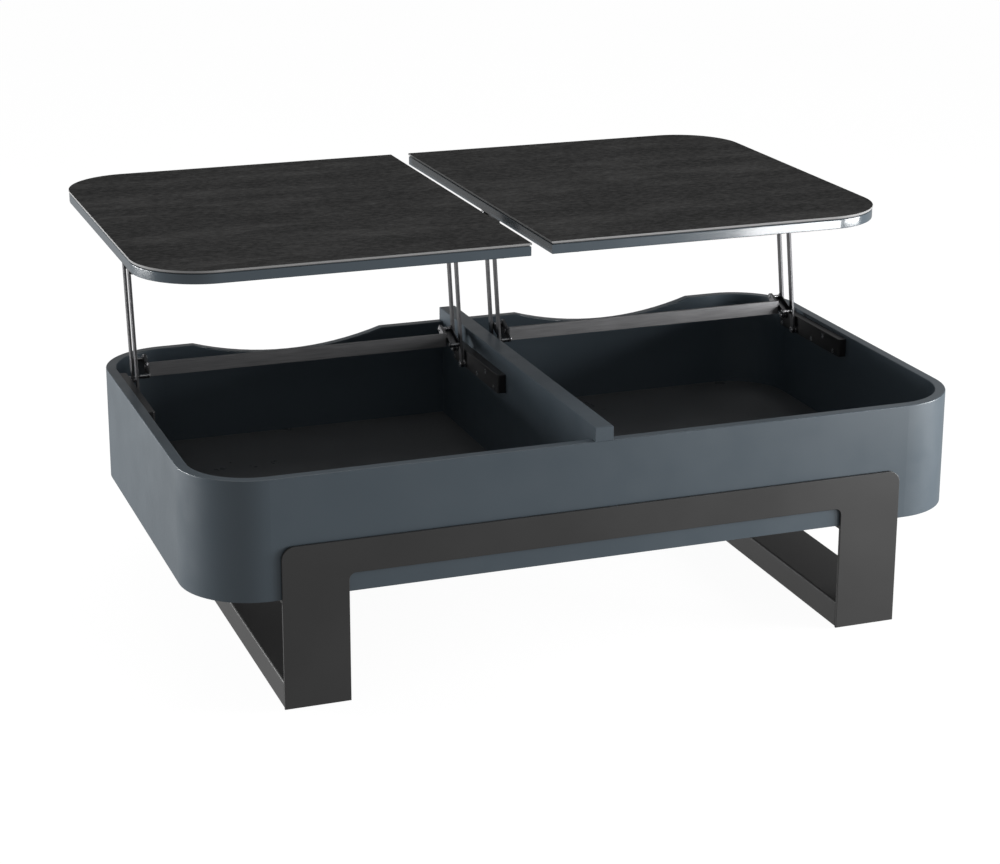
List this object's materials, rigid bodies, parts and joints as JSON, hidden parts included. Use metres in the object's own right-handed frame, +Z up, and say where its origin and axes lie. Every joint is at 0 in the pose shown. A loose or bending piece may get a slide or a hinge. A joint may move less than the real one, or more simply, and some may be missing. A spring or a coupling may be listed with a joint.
{
  "type": "lift top coffee table",
  "caption": "Coffee table with a round-cornered storage tub on U-shaped legs; stone-topped lids rise and move towards the sitter on parallel arms, kept square by cross bars.",
  "frame": {"origin": "on the floor, under the centre of the box around the table with both lids raised", "axes": "+Z up, X along the table, +Y from the plain long side to the scooped long side, the way the lids travel as they rise"},
  "size_m": [1.2034, 0.9488, 0.5768],
  "materials": {
    "tub_lacquer": "satin lacquer",
    "lid_lacquer": "satin lacquer",
    "bay_floor": "satin dark laminate",
    "stone": "matt dark stone slab with pale edge",
    "bond": "matt",
    "leg_coating": "satin powder coat",
    "felt": "felt",
    "rubber": "matt",
    "dowel_wood": "raw beech",
    "dark_fasteners": "black zinc",
    "bright_pins": "bright zinc",
    "black_steel": "satin black",
    "arm_steel": "satin dark steel"
  },
  "bodies": {
    "tub_and_legs": {"base_pins": "bright_pins", "base_rail_left_inner": "black_steel", "base_rail_left_outer": "black_steel", "base_rail_right_inner": "black_steel", "base_rail_right_outer": "black_steel", "base_rail_screws": "dark_fasteners", "base_rail_sleeves": "bright_pins", "centre_divider": "tub_lacquer", "floor_panel_left": "bay_floor", "floor_panel_right": "bay_floor", "floor_rail_left": "leg_coating", "floor_rail_right": "leg_coating", "glides": "felt", "leg_plate_plain_side": "leg_coating", "leg_plate_scooped_side": "leg_coating", "leg_strap_left": "leg_coating", "leg_strap_right": "leg_coating", "strap_screws": "dark_fasteners", "tub_dowels": "dowel_wood", "tub_end_left": "tub_lacquer", "tub_end_right": "tub_lacquer", "tub_wall_plain": "tub_lacquer", "tub_wall_scooped": "tub_lacquer"},
    "left_front_arm_outer": {"front_arm_left_outer": "arm_steel"},
    "left_front_arm_inner": {"front_arm_left_inner": "arm_steel"},
    "left_rear_arm_outer": {"rear_arm_left_outer": "arm_steel"},
    "left_rear_arm_inner": {"rear_arm_left_inner": "arm_steel"},
    "left_cross_bar": {"cross_bar_left": "arm_steel", "cross_bar_rivets_left": "bright_pins", "link_left_outer": "arm_steel", "link_left_inner": "arm_steel", "link_pins_left": "bright_pins"},
    "left_lid": {"lid_body_left": "lid_lacquer", "lid_bond_left": "bond", "lid_slab_left": "stone", "lid_bracket_left_outer": "black_steel", "lid_bracket_left_inner": "black_steel", "lid_pins_left": "bright_pins", "lid_screws_left": "dark_fasteners", "stop_studs_left": "rubber", "rim_pads_left": "rubber"},
    "right_front_arm_outer": {"front_arm_right_outer": "arm_steel"},
    "right_front_arm_inner": {"front_arm_right_inner": "arm_steel"},
    "right_rear_arm_outer": {"rear_arm_right_outer": "arm_steel"},
    "right_rear_arm_inner": {"rear_arm_right_inner": "arm_steel"},
    "right_cross_bar": {"cross_bar_right": "arm_steel", "cross_bar_rivets_right": "bright_pins", "link_right_outer": "arm_steel", "link_right_inner": "arm_steel", "link_pins_right": "bright_pins"},
    "right_lid": {"lid_body_right": "lid_lacquer", "lid_bond_right": "bond", "lid_slab_right": "stone", "lid_bracket_right_outer": "black_steel", "lid_bracket_right_inner": "black_steel", "lid_pins_right": "bright_pins", "lid_screws_right": "dark_fasteners", "stop_studs_right": "rubber", "rim_pads_right": "rubber"}
  },
  "joints": [
    {"name": "left_lift", "type": "hinge", "parent": "tub_and_legs", "child": "left_front_arm_outer", "pos_m": [-0.5646, 0.0512, 0.315], "axis": [1, 0, 0], "range_deg": [0, 99.54]},
    {"name": "left_front_arm_inner_pivot", "type": "hinge", "parent": "tub_and_legs", "child": "left_front_arm_inner", "pos_m": [-0.03325, 0.0512, 0.315], "axis": [1, 0, 0], "range_deg": [0, 99.54]},
    {"name": "left_rear_arm_outer_pivot", "type": "hinge", "parent": "tub_and_legs", "child": "left_rear_arm_outer", "pos_m": [-0.5646, 0.0907, 0.3315], "axis": [1, 0, 0], "range_deg": [0, 99.54]},
    {"name": "left_rear_arm_inner_pivot", "type": "hinge", "parent": "tub_and_legs", "child": "left_rear_arm_inner", "pos_m": [-0.03325, 0.0907, 0.3315], "axis": [1, 0, 0], "range_deg": [0, 99.54]},
    {"name": "left_cross_bar_pivot", "type": "hinge", "parent": "left_front_arm_outer", "child": "left_cross_bar", "pos_m": [-0.5646, 0.05665, 0.34653], "axis": [1, 0, 0], "range_deg": [-99.54, 0]},
    {"name": "left_lid_pivot", "type": "hinge", "parent": "left_front_arm_outer", "child": "left_lid", "pos_m": [-0.5646, 0.08796, 0.5278], "axis": [1, 0, 0], "range_deg": [-99.54, 0]},
    {"name": "right_lift", "type": "hinge", "parent": "tub_and_legs", "child": "right_front_arm_outer", "pos_m": [0.5646, 0.0512, 0.315], "axis": [1, 0, 0], "range_deg": [0, 99.54]},
    {"name": "right_front_arm_inner_pivot", "type": "hinge", "parent": "tub_and_legs", "child": "right_front_arm_inner", "pos_m": [0.03325, 0.0512, 0.315], "axis": [1, 0, 0], "range_deg": [0, 99.54]},
    {"name": "right_rear_arm_outer_pivot", "type": "hinge", "parent": "tub_and_legs", "child": "right_rear_arm_outer", "pos_m": [0.5646, 0.0907, 0.3315], "axis": [1, 0, 0], "range_deg": [0, 99.54]},
    {"name": "right_rear_arm_inner_pivot", "type": "hinge", "parent": "tub_and_legs", "child": "right_rear_arm_inner", "pos_m": [0.03325, 0.0907, 0.3315], "axis": [1, 0, 0], "range_deg": [0, 99.54]},
    {"name": "right_cross_bar_pivot", "type": "hinge", "parent": "right_front_arm_outer", "child": "right_cross_bar", "pos_m": [0.5646, 0.05665, 0.34653], "axis": [1, 0, 0], "range_deg": [-99.54, 0]},
    {"name": "right_lid_pivot", "type": "hinge", "parent": "right_front_arm_outer", "child": "right_lid", "pos_m": [0.5646, 0.08796, 0.5278], "axis": [1, 0, 0], "range_deg": [-99.54, 0]}
  ],
  "couplings": [
    {"joint": "left_front_arm_inner_pivot", "follows": "left_lift", "ratio": 1},
    {"joint": "left_rear_arm_outer_pivot", "follows": "left_lift", "ratio": 1},
    {"joint": "left_rear_arm_inner_pivot", "follows": "left_lift", "ratio": 1},
    {"joint": "left_cross_bar_pivot", "follows": "left_lift", "ratio": -1},
    {"joint": "left_lid_pivot", "follows": "left_lift", "ratio": -1},
    {"joint": "right_front_arm_inner_pivot", "follows": "right_lift", "ratio": 1},
    {"joint": "right_rear_arm_outer_pivot", "follows": "right_lift", "ratio": 1},
    {"joint": "right_rear_arm_inner_pivot", "follows": "right_lift", "ratio": 1},
    {"joint": "right_cross_bar_pivot", "follows": "right_lift", "ratio": -1},
    {"joint": "right_lid_pivot", "follows": "right_lift", "ratio": -1}
  ]
}
